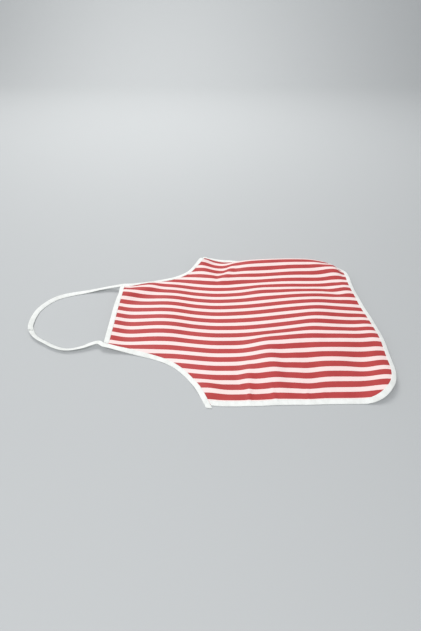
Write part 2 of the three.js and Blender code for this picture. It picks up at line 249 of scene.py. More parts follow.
@dataclass(frozen=True)
class Lie:
    """How the cloth lies on its surface: the plan and the height of every point of the cut."""

    cut: ApronCut
    folds: Sequence[Fold]
    pulls: Sequence[Pull]
    ground: float
    relief: float = 0.034
    sag: float = 0.0025
    softness: float = 0.001
    valley: float = 0.330
    far_edge_share: float = 0.35
    far_edge_drop: float = 0.038
    bib_drift: float = 0.012
    bib_drift_start: float = 0.330
    bib_drift_run: float = 0.150
    hem_drift: float = 0.004
    hem_drift_start: float = 0.400
    hem_drift_run: float = 0.220
    push: float = 0.015
    push_across: float = 0.34
    push_spread: float = 0.30
    probe: float = 0.001
    arc: int = 110

    def lift(self, u: Array, v: Array) -> Array:
        """Works out how high the cloth lies.

        Args:
            u: Places along the cut.
            v: Places across it.

        Returns:
            Height of the cloth's middle over the surface that it lies on.
        """
        half, total = self.cut.half, 0.0
        for fold in self.folds:
            turn = math.radians(fold.turn)
            du, dv = u - fold.along * self.cut.length, v - fold.across * half
            p = (du * math.cos(turn) + dv * math.sin(turn)) / (fold.reach * half)
            q = (dv * math.cos(turn) - du * math.sin(turn)) / (fold.spread * half)
            p = np.clip(p * p, 0, 30)
            total = total + fold.rise * np.exp(-(p * p if fold.level else p) - q * q)
        held = self.far_edge_share + (1 - self.far_edge_share) * smooth((half - v) / self.far_edge_drop)
        free = total * self.relief * held - self.sag
        soft = np.maximum(free + self.softness, 0) ** 2 / (4 * self.softness)
        return self.ground + np.where(free > self.softness, free, soft)

    def drawn_in(self, start: float, end: Array, height: Callable[[Array], Array]) -> Array:
        """How far a straight run of cloth is drawn in by the slopes along it.

        Args:
            start: Where every run starts.
            end: Where each run ends.
            height: The cloth's height at places along the runs.

        Returns:
            The length that each run loses on the plan, with its direction's sign.
        """
        run = end - start
        lost = 0.0
        for i in range(self.arc):
            here = start + run * (i + 0.5) / self.arc
            slope = (height(here + self.probe) - height(here - self.probe)) / (2 * self.probe)
            lost = lost + 1 - np.sqrt(np.maximum(1 - slope**2, 0))
        return run * lost / self.arc

    def drift(self, u: Array) -> Array:
        """How far the cloth lies to the far side of its own middle line."""
        bib = self.bib_drift * smooth((self.bib_drift_start - u) / self.bib_drift_run)
        return bib + self.hem_drift * smooth((u - self.hem_drift_start) / self.hem_drift_run)

    def pushed(self, u: Array, v: Array) -> Array:
        """Works out how far the hem is pushed in where its far half is gathered.

        Args:
            u: Places along the cut.
            v: Places across it.

        Returns:
            The length that each point is pushed towards the bib.
        """
        side = (v / self.cut.half - self.push_across) / self.push_spread
        reach = (u - self.valley) / (self.cut.length - self.valley)
        return self.push * np.exp(-(side**2)) * smooth(reach)

    def place(self, u: Array, v: Array) -> Array:
        """Finds where points of the cut lie.

        Args:
            u: Places along the cut.
            v: Places across it.

        Returns:
            Rows of x, y and z on the plan.
        """
        along = self.drawn_in(self.valley, u, lambda here: self.lift(here, v))
        across = self.drawn_in(0.0, v, lambda here: self.lift(u, here))
        x = u - along - self.pushed(u, v)
        y = v - across + self.drift(u)
        for pull in self.pulls:
            along = (u - pull.along * self.cut.length) / (pull.reach * self.cut.half)
            across = (v - pull.across * self.cut.half) / (pull.spread * self.cut.half)
            share = np.exp(-(along**2) - across**2)
            x, y = x + pull.shift_x * share, y + pull.shift_y * share
        return np.stack([x, y, self.lift(u, v)], axis=-1)


def triangulated(quads: Array) -> Array:
    """Quads as triangles, split from their first corner to their third."""
    return np.concatenate([quads[:, [0, 1, 2]], quads[:, [0, 2, 3]]])


def point_normals(points: Array, quads: Array) -> Array:
    """Works out the normal of each point from the faces around it.

    Args:
        points: The mesh's points.
        quads: Its faces, as rows of four points.

    Returns:
        The normals, each face weighed by its area.
    """
    total = np.zeros_like(points)
    a, b, c = triangulated(quads).T
    face = np.cross(points[b] - points[a], points[c] - points[a])
    for corner in (a, b, c):
        np.add.at(total, corner, face)
    return unit(total)


@dataclass
class MeshParts:
    """A mesh in the making: points, faces, and a vector of each point for the shader."""

    points: list[Array] = field(default_factory=list)
    faces: list[tuple[int, ...]] = field(default_factory=list)
    marks: list[Array] = field(default_factory=list)
    count: int = 0

    def add(self, points: Array, faces: Sequence[Sequence[int]], marks: Array) -> None:
        """Adds a set of points.

        Args:
            points: The points.
            faces: The faces on them, as numbers of these points.
            marks: Each point's mark.
        """
        self.points.append(points)
        self.marks.append(marks)
        self.faces.extend(tuple(int(i) + self.count for i in face) for face in faces)
        self.count += len(points)

    def build(self, name: str, shift: Array) -> bpy.types.Object:
        """Makes the object.

        Args:
            name: The piece's name.
            shift: From the plan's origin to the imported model's.

        Returns:
            The object, at the origin, with its place in its mesh.
        """
        mesh = bpy.data.meshes.new(name)
        mesh.from_pydata((np.concatenate(self.points) + shift).tolist(), [], self.faces)
        marks = mesh.attributes.new("mark", "FLOAT_VECTOR", "POINT")
        marks.data.foreach_set("vector", np.concatenate(self.marks).astype(np.float32).ravel())
        mesh.polygons.foreach_set("use_smooth", [True] * len(mesh.polygons))
        mesh.update()
        piece = bpy.data.objects.new(name, mesh)
        bpy.context.scene.collection.objects.link(piece)
        return piece


@dataclass
class Border:
    """Two lines of points of the cloth, along its edge and a tape's width in from it."""

    outer: Array
    inner: Array
    outer_up: Array
    inner_up: Array

    def part(self, rows: slice | Array) -> "Border":
        """Some of the border's rows."""
        return Border(self.outer[rows], self.inner[rows], self.outer_up[rows], self.inner_up[rows])

    def joined(self, other: "Border") -> "Border":
        """This border and then another."""
        pairs = zip(self.lines(), other.lines())
        return Border(*(np.concatenate(pair) for pair in pairs))

    def lines(self) -> tuple[Array, Array, Array, Array]:
        """Its four lines."""
        return self.outer, self.inner, self.outer_up, self.inner_up

    def reversed(self) -> "Border":
        """The same border walked the other way."""
        return self.part(slice(None, None, -1))

    def stepped(self, step: float) -> "Border":
        """Walks the border in even steps.

        Args:
            step: About how long each step is.

        Returns:
            The same border with new rows.
        """
        middle = (self.outer + self.inner) / 2
        gone = np.concatenate([[0], np.cumsum(np.linalg.norm(np.diff(middle, axis=0), axis=1))])
        count = max(2, round(gone[-1] / step) + 1)
        places = np.linspace(0, gone[-1], count)
        resampled = [
            np.stack([np.interp(places, gone, line[:, k]) for k in range(3)], axis=1)
            for line in self.lines()
        ]
        return Border(resampled[0], resampled[1], unit(resampled[2]), unit(resampled[3]))


@dataclass
class Panel:
    """The striped cloth: one wall with its outline, folds and creases."""

    cut: ApronCut
    lie: Lie
    thickness: float
    fineness: Fineness = field(default_factory=Fineness)

    def __post_init__(self) -> None:
        """Works out the grid of the cut and where it lies."""
        near, far = self._side_pairs(Side.NEAR), self._side_pairs(Side.FAR)
        shares = np.linspace(0, 1, self.fineness.rows + 1)[None, :, None]
        inside = near[1][:, None] * (1 - shares) + far[1][:, None] * shares
        grid = np.concatenate([near[0][:, None], inside, far[0][:, None]], axis=1)
        self.stations, self.width = grid.shape[:2]
        hem_inner = grid[-1, 2:-2]
        hem = np.stack([np.full(len(hem_inner), self.cut.length), hem_inner[:, 1]], axis=1)
        self.plan = np.concatenate([grid.reshape(-1, 2), hem])
        self.quads = self._quads()
        self.points = self.lie.place(self.plan[:, 0], self.plan[:, 1])
        self.ups = point_normals(self.points, self.quads)

    def _side_pairs(self, side: Side) -> tuple[Array, Array]:
        """Lays out the border of one side on the cut.

        Args:
            side: The side.

        Returns:
            The edge's points, and those a tape's width in from it.
        """
        cut, steps, sign = self.cut, self.fineness, side.value
        depth, tape = cut.depth(side), cut.tape_width
        t = np.linspace(0, 1, steps.armhole)
        bound, last = tape / depth, 1 - tape / (2 * depth)
        shares = np.concatenate([[0.0], bound + (last - bound) * (t + steps.ease * t * (1 - t))])
        half, slope = cut.armhole(shares, side)
        u = shares * depth
        square = unit(np.stack([slope, -np.ones_like(slope)], axis=1))
        turn = smooth(u / (3 * tape))[:, None]
        inward = unit(np.array([[0.0, -1.0]]) * (1 - turn) + square * turn)
        reach = tape / (inward * square).sum(axis=1)
        outer = [np.stack([u, sign * half], axis=1)]
        inner = [np.stack([u + inward[:, 0] * reach, sign * (half + inward[:, 1] * reach)], axis=1)]
        end_slope = float(cut.armhole(1.0, side)[1])
        across = tape * math.hypot(1, end_slope) / end_slope
        edge, line = sign * cut.half, sign * (cut.half - tape)
        outer.append(np.array([[depth, edge], [depth + across, edge]]))
        inner.append(np.array([[depth + across - tape / end_slope, line], [depth + across, line]]))
        straight = np.linspace(depth + across, cut.length - cut.hem_corner, steps.side + 1)[1:-1]
        outer.append(np.stack([straight, np.full_like(straight, edge)], axis=1))
        inner.append(np.stack([straight, np.full_like(straight, line)], axis=1))
        turns = np.linspace(0, math.pi / 2, steps.corner + 1)
        for lines, radius in ((outer, cut.hem_corner), (inner, cut.hem_corner - tape)):
            lines.append(np.stack([
                cut.length - cut.hem_corner + radius * np.sin(turns),
                sign * (cut.half - cut.hem_corner + radius * np.cos(turns)),
            ], axis=1))
        self.corner_row = len(shares)
        return np.concatenate(outer), np.concatenate(inner)

    def _hem_rows(self) -> tuple[Array, Array]:
        """Finds the border of the straight hem.

        Returns:
            The numbers of the hem's points, and of those a tape's width in from it.
        """
        start = (self.stations - 1) * self.width
        inner = np.arange(start + 1, start + self.width - 1)
        first = self.stations * self.width
        hem = np.arange(first, first + self.width - 4)
        outer = np.concatenate([[start], hem, [start + self.width - 1]])
        return outer, inner

    def _quads(self) -> Array:
        """Joins the cloth's points into cells.

        Returns:
            The cells, walked so that they face up.
        """
        i, j = np.meshgrid(
            np.arange(self.stations - 1), np.arange(self.width - 1), indexing="ij"
        )
        a = (i * self.width + j).ravel()
        cells = np.stack([a, a + self.width, a + self.width + 1, a + 1], axis=1)
        outer, inner = self._hem_rows()
        hem = np.stack([inner[:-1], outer[:-1], outer[1:], inner[1:]], axis=1)
        return np.concatenate([cells, hem])

    def _border(self, outer: Array, inner: Array) -> Border:
        """The border with these points of the cloth on its two lines."""
        return Border(self.points[outer], self.points[inner], self.ups[outer], self.ups[inner])

    def border(self, side: Side) -> Border:
        """Finds the border of one side.

        Args:
            side: The side of the apron.

        Returns:
            The border, from the bib's corner to the end of the hem's round corner.
        """
        rows = np.arange(self.stations) * self.width
        outer = rows if side is Side.NEAR else rows + self.width - 1
        return self._border(outer, outer - side.value)

    def hem(self) -> Border:
        """The border of the straight hem, from the near corner to the far one."""
        return self._border(*self._hem_rows())

    def bib(self) -> Border:
        """The border of the bib's edge, between the inner lines of the sides."""
        outer = np.arange(1, self.width - 1)
        return self._border(outer, outer + self.width)

    def build(self, shift: Array) -> bpy.types.Object:
        """Makes the cloth's wall.

        Args:
            shift: From the plan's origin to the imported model's.

        Returns:
            The closed wall, each point marked with its place on the cut and its face.
        """
        count = len(self.points)
        offset = self.ups * self.thickness / 2
        points = np.concatenate([self.points + offset, self.points - offset])
        marks = np.concatenate([
            np.column_stack([self.plan, np.full(count, float(face is Face.TOP))]) for face in Face
        ])
        rim = self._rim()
        sides = np.stack([rim[:, 0] + count, rim[:, 1] + count, rim[:, 1], rim[:, 0]], axis=1)
        faces = np.concatenate([self.quads, self.quads[:, ::-1] + count, sides])
        parts = MeshParts()
        parts.add(points, faces.tolist(), marks)
        return parts.build("striped_cloth", shift)

    def _rim(self) -> Array:
        """Finds the cloth's own edge.

        Returns:
            The edges that only one cell has.
        """
        edges = np.concatenate([self.quads[:, [k, (k + 1) % 4]] for k in range(4)])
        keys = edges.min(axis=1) * (self.quads.max() + 1) + edges.max(axis=1)
        _, first, counts = np.unique(keys, return_index=True, return_counts=True)
        return edges[first[counts == 1]]


@dataclass(frozen=True)
class TapeCloth:
    """The tape: two plies folded over an edge, with a turned-in edge and one line of stitches."""

    ply: float = 0.65 * MM
    ease: float = 0.06 * MM
    closed_slot: float = 0.08 * MM
    round_over: float = 0.22 * MM
    puff: float = 0.16 * MM
    groove: float = 0.20 * MM
    groove_width: float = 0.9 * MM
    stitch_in: float = 1.8 * MM
    step: float = 2.2 * MM
    web_points: int = 7
    face_points: int = 9
    ripple: float = 0.10 * MM / 3
    ripple_length: float = 8.0 * MM
    ripple_range: tuple[float, float] = (0.6, 1.6)
    ripple_waves: int = 5
    ripple_everywhere: float = 0.35
    ripple_under: float = 0.3


@dataclass
class TapeRun:
    """A length of tape along a border, from one end to the other."""

    name: str
    border: Border
    slot: Array
    width: float
    tape: TapeCloth
    seed: int

    def __post_init__(self) -> None:
        """Works out which way is out at each row, and the tape's own small ripples."""
        outer = self.border.outer
        run = np.gradient(outer, axis=0)
        out = unit(np.cross(run, self.border.outer_up))
        away = ((outer - self.border.inner) * out).sum(axis=1)
        self.out = out * np.sign(np.median(away))
        middle = (outer + self.border.inner) / 2
        steps = np.linalg.norm(np.diff(middle, axis=0), axis=1)
        self.gone = np.concatenate([[0], np.cumsum(steps)])
        rng = np.random.default_rng(self.seed)
        tape = self.tape
        waves = rng.uniform(*tape.ripple_range, tape.ripple_waves) * tape.ripple_length
        phases = rng.uniform(0, 2 * math.pi, tape.ripple_waves)
        self.ripple = sum(
            np.sin(2 * math.pi * self.gone / wave + phase) for wave, phase in zip(waves, phases)
        ) * tape.ripple

    def height(self, share: Array, face: Face) -> Array:
        """Height of the tape's face over its slot, at shares from its inner edge to its fold.

        Args:
            share: Shares of the tape's width, a row for each row of the border.
            face: The face over or under the cloth.

        Returns:
            The heights, which puff between the stitches' groove and the fold.
        """
        tape = self.tape
        place = share * self.width
        groove = np.exp(-(((place - tape.stitch_in) / tape.groove_width) ** 2))
        puff = tape.puff * np.sin(np.clip(share, 0, 1) * math.pi)
        strength = 1 if face is Face.TOP else tape.ripple_under
        ripple = self.ripple[:, None] * (tape.ripple_everywhere + groove) * strength
        return tape.ply + puff - tape.groove * groove + ripple

    def surface(self, share: Array, face: Face) -> Array:
        """Finds points on the tape's face.

        Args:
            share: Shares of the tape's width, a row for each row of the border.
            face: The face over or under the cloth.

        Returns:
            The points.
        """
        border = self.border
        w = share[..., None]
        foot = border.inner[:, None] * (1 - w) + border.outer[:, None] * w
        up = unit(border.inner_up[:, None] * (1 - w) + border.outer_up[:, None] * w)
        over = self.slot[:, None] + self.height(share, face)
        return foot + up * (face.value * over)[..., None]

    def rings(self) -> tuple[Array, Array]:
        """The tape's sections.

        Returns:
            Points as rows of sections, and how far round the section each point is.
        """
        border, tape = self.border, self.tape
        count = len(border.outer)
        shares = np.linspace(tape.round_over / self.width, 1, tape.face_points)
        rows = np.broadcast_to(shares, (count, len(shares)))
        top, under = self.surface(rows, Face.TOP), self.surface(rows, Face.UNDER)
        brim = border.inner_up * (self.slot + tape.ply / 2)[:, None]
        slot_edge = border.inner_up * self.slot[:, None]
        web = self._web(self.slot + self.height(np.ones((count, 1)), Face.TOP)[:, 0])
        slot_web = self._web(self.slot)[:, ::-1]
        ring = np.concatenate([
            (border.inner + brim)[:, None], top[:, :-1], web, under[:, -2::-1],
            (border.inner - brim)[:, None], (border.inner - slot_edge)[:, None], slot_web,
            (border.inner + slot_edge)[:, None],
        ], axis=1)
        marks = np.linspace(0, 1, ring.shape[1])
        return ring, marks

    def _web(self, radius: Array) -> Array:
        """Rounds the tape over the cloth's edge.

        Args:
            radius: The fold's radius at each row.

        Returns:
            The fold's points, from over the cloth to under it.
        """
        turns = np.linspace(math.pi / 2, -math.pi / 2, self.tape.web_points)
        out = self.out[:, None] * np.cos(turns)[None, :, None]
        up = self.border.outer_up[:, None] * np.sin(turns)[None, :, None]
        return self.border.outer[:, None] + (out + up) * radius[:, None, None]

    def build(self, shift: Array) -> bpy.types.Object:
        """Makes the tape.

        Args:
            shift: From the plan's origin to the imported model's.

        Returns:
            The tape as one closed body.
        """
        ring, marks = self.rings()
        count, size = ring.shape[:2]
        i, k = np.meshgrid(np.arange(count - 1), np.arange(size), indexing="ij")
        a, b = i * size + k, i * size + (k + 1) % size
        faces = np.stack([a, a + size, b + size, b], axis=-1).reshape(-1, 4).tolist()
        faces += self._caps(size, 0) + [face[::-1] for face in self._caps(size, (count - 1) * size)]
        along = np.repeat(self.gone, size)
        mark = np.column_stack([along, np.tile(marks * self.width * 2, count), np.zeros(count * size)])
        points = ring.reshape(-1, 3)
        if signed_volume(points, faces) < 0:
            faces = [face[::-1] for face in faces]
        parts = MeshParts()
        parts.add(points, faces, mark)
        return parts.build(self.name, shift)

    def _caps(self, size: int, start: int) -> list[list[int]]:
        """Closes one end of the tape.

        Args:
            size: How many points a section has.
            start: The number of the end section's first point.

        Returns:
            Faces between the outside of the section and its slot.
        """
        inside = self.tape.web_points + 2
        outside = size - inside
        spots = np.round(np.linspace(0, outside - 1, inside)).astype(int)
        faces = []
        for k in range(inside - 1):
            span = list(range(spots[k], spots[k + 1] + 1))
            faces.append([start + s for s in span] + [start + size - 2 - k, start + size - 1 - k])
        return faces

    def stitches(self, seam: "Stitching", shift: Array) -> bpy.types.Object:
        """Sews the run.

        Args:
            seam: The stitches.
            shift: From the plan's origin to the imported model's.

        Returns:
            The stitches over and under the tape, as one mesh of short threads.
        """
        places = np.arange(seam.start, self.gone[-1] - seam.start, seam.pitch)
        parts = MeshParts()
        share = np.full((len(self.gone), 1), self.tape.stitch_in / self.width)
        for face in Face:
            line = self.surface(share, face)[:, 0]
            up = unit(self.border.inner_up) * face.value
            seam.sew(parts, places, self.gone, line, up)
        return parts.build(f"{self.name}_stitches", shift)


def signed_volume(points: Array, faces: Sequence[Sequence[int]]) -> float:
    """Tells which way a closed body's faces look.

    Args:
        points: Its points.
        faces: Its faces.

    Returns:
        Six times the volume inside, below zero when the faces look inwards.
    """
    total = 0.0
    for face in faces:
        a = points[face[0]]
        for b, c in zip(face[1:], face[2:]):
            total += float(a @ np.cross(points[b], points[c]))
    return total


@dataclass(frozen=True)
class Stitching:
    """One line of short running stitches."""

    pitch: float = 3.0 * MM
    length: float = 2.3 * MM
    thread: float = 0.36 * MM
    sunk: float = 0.10 * MM
    start: float = 2.0 * MM
    sides: int = 6
    ring_places: tuple[float, ...] = (-0.5, -0.4, 0.0, 0.4, 0.5)
    ring_sizes: tuple[float, ...] = (0.0, 0.75, 1.0, 0.75, 0.0)

    def sew(self, parts: MeshParts, places: Array, gone: Array, line: Array, up: Array) -> None:
        """Adds the stitches of one line.

        Args:
            parts: The mesh that they are added to.
            places: How far along the line each stitch has its middle.
            gone: How far along it each row of the line is.
            line: The rows' points.
            up: The rows' normals.
        """
        offsets = np.array(self.ring_places) * self.length
        sizes = np.array(self.ring_sizes)
        turns = np.arange(self.sides) * 2 * math.pi / self.sides
        faces = self._faces(len(offsets))
        for place in places:
            spots = place + offsets
            at = np.stack([np.interp(spots, gone, line[:, k]) for k in range(3)], axis=1)
            lift = unit(np.array([np.interp(place, gone, up[:, k]) for k in range(3)]))
            run = unit(at[-1] - at[0])
            side = unit(np.cross(lift, run))
            dip = (offsets / self.length * 2) ** 4 * self.thread - self.sunk
            at = at - lift * dip[:, None]
            ring = side * np.cos(turns)[:, None] + lift * np.sin(turns)[:, None]
            points = at[:, None] + ring[None] * (sizes * self.thread / 2)[:, None, None]
            points = np.concatenate([points[0, :1], points[1:-1].reshape(-1, 3), points[-1, :1]])
            marks = np.column_stack([np.full(len(points), place), np.zeros((len(points), 2))])
            parts.add(points, faces, marks)

    def _faces(self, rings: int) -> list[list[int]]:
        """Joins the rings of one stitch.

        Args:
            rings: How many rings it has, the first and last of which are points.

        Returns:
            Its faces.
        """
        n, last = self.sides, (rings - 2) * self.sides + 1
        faces = [[0, 1 + (k + 1) % n, 1 + k] for k in range(n)]
        for r in range(rings - 3):
            a = 1 + r * n
            faces += [[a + k, a + (k + 1) % n, a + n + (k + 1) % n, a + n + k] for k in range(n)]
        end = last - n
        faces += [[last, end + k, end + (k + 1) % n] for k in range(n)]
        return faces


@dataclass(frozen=True)
class LoopRow:
    """One place of the neck loop's middle line.

    It is a share of the loop's depth behind the bib and of its spread towards the far side. Its
    lowest edge clears the surface by a share of the loop's height, and its outer edge is tipped up.
    """

    back: float
    aside: float
    clear: float
    tip: float


@dataclass(frozen=True)
class NeckLoop:
    """The neck loop, as the two halves that the halter tapes run on as."""

    depth: float = 0.240
    spread: float = 0.130
    height: float = 0.010
    closing: float = 0.014
    step: float = 2.2 * MM
    far: tuple[LoopRow, ...] = (
        LoopRow(0.15, 1.045, 0.74, -12),
        LoopRow(0.29, 0.99, 0.46, -12),
        LoopRow(0.455, 0.925, 0.20, 0),
        LoopRow(0.625, 0.84, 0.05, 12),
        LoopRow(0.75, 0.755, 0.02, 18),
        LoopRow(0.845, 0.65, 0.02, 22),
        LoopRow(0.935, 0.455, 0.03, 24),
        LoopRow(0.995, 0.23, 0.08, 22),
        LoopRow(1.007, 0.02, 0.16, 24),
        LoopRow(1.002, -0.155, 0.21, 27),
        LoopRow(0.988, -0.30, 0.21, 29),
        LoopRow(0.961, -0.43, 0.21, 30),
    )
    near: tuple[LoopRow, ...] = (
        LoopRow(0.07, -0.825, 0.90, 10),
        LoopRow(0.16, -0.872, 0.74, 12),
        LoopRow(0.217, -0.92, 0.50, 17),
        LoopRow(0.295, -0.96, 0.25, 24),
        LoopRow(0.38, -0.99, 0.08, 29),
        LoopRow(0.465, -0.985, 0.02, 31),
        LoopRow(0.53, -0.955, 0.02, 31),
        LoopRow(0.615, -0.89, 0.02, 31),
        LoopRow(0.717, -0.79, 0.02, 33),
        LoopRow(0.82, -0.685, 0.02, 36),
        LoopRow(0.905, -0.556, 0.02, 35),
        LoopRow(0.956, -0.43, 0.02, 25),
        LoopRow(1.0, -0.27, 0.0, 20),
    )

    def half(self, side: Side, corner: Border, thickness: float) -> Border:
        """One half of the loop, from the bib's corner to its end at the nape.

        Args:
            side: The side that it starts from.
            corner: The border's first row, at the bib's corner.
            thickness: Of the doubled tape.

        Returns:
            The half as a border, without the corner's own row.
        """
        rows = self.far if side is Side.FAR else self.near
        outer, inner = corner.outer[0], corner.inner[0]
        width = float(np.linalg.norm(outer - inner))
        tips = np.radians([0.0] + [row.tip for row in rows])
        rest = np.abs(np.sin(tips)) * width / 2 + np.cos(tips) * thickness / 2
        points = [(outer + inner) / 2]
        for row, low in zip(rows, rest[1:]):
            z = row.clear * self.height + low
            points.append(np.array([-row.back * self.depth, row.aside * self.spread, z]))
        places = np.linspace(0, len(rows), len(rows) * 9 + 1)
        at = curve_through(np.array(points), places)
        ahead = unit(np.gradient(at, axis=0))
        level = np.stack([ahead[:, 1], -ahead[:, 0], np.zeros(len(at))], axis=1)
        tip = np.interp(places, np.arange(len(tips)), tips)[:, None]
        tipped = unit(level) * side.value * np.cos(tip)
        tipped[:, 2:] = np.sin(tip)
        mix = smooth(places)[:, None]
        out = unit(unit(outer - inner) * (1 - mix) + tipped * mix)
        up = unit(np.cross(out, ahead)) * side.value
        half = Border(at + out * width / 2, at - out * width / 2, up, up)
        return half.part(slice(1, None))


def curve_through(points: Array, places: Array) -> Array:
    """A smooth curve through points, which doesn't swing out past close ones.

    Args:
        points: The points that it passes through.
        places: Places along it, with the points at whole numbers.

    Returns:
        The curve's points at the places.
    """
    padded = np.concatenate([[2 * points[0] - points[1]], points, [2 * points[-1] - points[-2]]])
    row = np.minimum(places.astype(int), len(points) - 2)
    t = (places - row)[:, None]
    p = [padded[row + k] for k in range(4)]
    gap = [np.sqrt(np.linalg.norm(p[k + 1] - p[k], axis=1, keepdims=True)) for k in range(3)]
    start = (p[1] - p[0]) / gap[0] - (p[2] - p[0]) / (gap[0] + gap[1]) + (p[2] - p[1]) / gap[1]
    end = (p[2] - p[1]) / gap[1] - (p[3] - p[1]) / (gap[1] + gap[2]) + (p[3] - p[2]) / gap[2]
    start, end = start * gap[1], end * gap[1]
    a = 2 * p[1] - 2 * p[2] + start + end
    b = -3 * p[1] + 3 * p[2] - 2 * start - end
    return ((a * t + b) * t + start) * t + p[1]


@dataclass
class Bindings:
    """Every tape of the apron: over the bib's edge, the armholes, the sides and the hem."""

    panel: Panel
    loop: NeckLoop
    tape: TapeCloth = field(default_factory=TapeCloth)
    seam_gap: float = 0.7 * MM
    near_stub: float = 9.5 * MM
    far_stub: float = 4.5 * MM

    @property
    def slot(self) -> float:
        """Half of the slot's height where the cloth lies in it."""
        return self.panel.thickness / 2 + self.tape.ease

    def _run(self, name: str, border: Border, slot: Array | float, seed: int) -> TapeRun:
        """A run of tape whose slot is as high as given."""
        slots = np.broadcast_to(slot, (len(border.outer),)).astype(float)
        return TapeRun(name, border, slots, self.panel.cut.tape_width, self.tape, seed)

    def bib(self) -> TapeRun:
        """Lays the tape over the bib's edge.

        Returns:
            The run between the halter tapes.
        """
        border = trimmed(self.panel.bib(), self.seam_gap)
        return self._run("bib_edge_tape", border.stepped(self.tape.step), self.slot, 3)

    def hem(self) -> TapeRun:
        """Lays the tape over the sides and the rounded hem.

        Returns:
            The run from one armhole to the other.
        """
        row = self.panel.corner_row
        sides = {}
        for side in Side:
            border = self.panel.border(side)
            start = Border(
                border.outer[row + 1:row + 2], border.inner[row:row + 1],
                border.outer_up[row + 1:row + 2], border.inner_up[row:row + 1],
            )
            sides[side] = trimmed(start.joined(border.part(slice(row + 2, None))), self.seam_gap, True)
        hem = self.panel.hem().part(slice(1, -1))
        whole = sides[Side.NEAR].joined(hem).joined(sides[Side.FAR].reversed())
        return self._run("hem_tape", whole.stepped(self.tape.step), self.slot, 5)

    def halter(self, side: Side) -> TapeRun:
        """Lays the tape over an armhole.

        Args:
            side: The side that the armhole is on.

        Returns:
            The run, which goes on as half of the neck loop.
        """
        row = self.panel.corner_row
        border = self.panel.border(side)
        bound = border.part(slice(0, row + 1))
        doubled = 2 * self.tape.ply + self.tape.closed_slot
        half = self.loop.half(side, bound.part(slice(0, 1)), doubled)
        stub = self._stub(border, row, self.far_stub if side is Side.FAR else self.near_stub)
        whole = half.reversed().joined(bound).joined(stub)
        stepped = whole.stepped(self.tape.step)
        middle = (stepped.outer + stepped.inner) / 2
        corner = (bound.outer[0] + bound.inner[0]) / 2
        nearest = int(np.argmin(np.linalg.norm(middle - corner, axis=1)))
        gone = np.maximum(nearest - np.arange(len(middle)), 0) * self.tape.step
        closed = smooth(gone / self.loop.closing)
        slots = self.slot + (self.tape.closed_slot / 2 - self.slot) * closed
        return self._run(f"{side.name.lower()}_halter_tape", stepped, slots, 7 + side.value)

    def _stub(self, border: Border, row: int, reach: float) -> Border:
        """The tape's end, which stands out past the side's edge.

        Args:
            border: The border of one side, with the armhole's tape on it.
            row: The border's row at the corner between the armhole and the side.
            reach: How far the end stands out.

        Returns:
            The end as a border.
        """
        corner, side = border.part(slice(row, row + 1)), border.part(slice(row + 1, row + 2))
        along = side.outer - corner.inner
        along = unit(along * np.array([1.0, 1.0, 0.0]))
        outer = np.concatenate([corner.outer + along * reach / 2, corner.outer + along * reach])
        inner = np.concatenate([side.outer, side.outer + along * reach])
        up = np.repeat(corner.outer_up, 2, axis=0)
        return Border(outer, inner, up, up)


def trimmed(border: Border, gap: float, start_only: bool = False) -> Border:
    """Shortens a border.

    Args:
        border: The border.
        gap: How much shorter each end gets.
        start_only: Whether the last end stays.

    Returns:
        The shorter border.
    """
    lines = [line.copy() for line in border.lines()]
    for end, after in ((0, 1),) if start_only else ((0, 1), (-1, -2)):
        run = np.linalg.norm(border.outer[after] - border.outer[end])
        share = min(gap / max(run, 1e-9), 0.9)
        for line, source in zip(lines, border.lines()):
            line[end] = source[end] * (1 - share) + source[after] * share
    return Border(lines[0], lines[1], unit(lines[2]), unit(lines[3]))


class Signal:
    """A socket that carries a number, with Python's operators as Math nodes."""

    def __init__(self, board: "NodeBoard", socket: bpy.types.NodeSocket) -> None:
        """Wraps a socket of a board."""
        self.board = board
        self.socket = socket

    def _math(self, operation: str, *values: "Signal | float") -> "Signal":
        """A Math node on the values."""
        node = self.board.node("ShaderNodeMath", {"operation": operation}, dict(enumerate(values)))
        return Signal(self.board, node.outputs[0])

    def __add__(self, other: "Signal | float") -> "Signal":
        """Self plus other."""
        return self._math("ADD", self, other)

    __radd__ = __add__

    def __sub__(self, other: "Signal | float") -> "Signal":
        """Self minus other."""
        return self._math("SUBTRACT", self, other)

    def __rsub__(self, other: float) -> "Signal":
        """Other minus self."""
        return self._math("SUBTRACT", other, self)

    def __mul__(self, other: "Signal | float") -> "Signal":
        """Self times other."""
        return self._math("MULTIPLY", self, other)

    __rmul__ = __mul__

    def __truediv__(self, other: "Signal | float") -> "Signal":
        """Self over other."""
        return self._math("DIVIDE", self, other)

    def __abs__(self) -> "Signal":
        """Self without its sign."""
        return self._math("ABSOLUTE", self)

    def sine(self) -> "Signal":
        """The sine of self in radians."""
        return self._math("SINE", self)

    def fraction(self) -> "Signal":
        """What is left of self past a whole number."""
        return self._math("FRACT", self)

    def step(self, low: float, high: float) -> "Signal":
        """Makes a soft step.

        Args:
            low: Where self gives 0.
            high: Where self gives 1.

        Returns:
            The step.
        """
        node = self.board.node(
            "ShaderNodeMapRange",
            {"interpolation_type": "SMOOTHSTEP"},
            {"Value": self, "From Min": low, "From Max": high},
        )
        return Signal(self.board, node.outputs[0])


def weave(one: Signal, other: Signal, thread: float) -> Signal:
    """Small bumps where two sets of threads cross, from -1 to 1."""
    turns = 2 * math.pi / thread
    return (one * turns).sine() * (other * turns).sine()


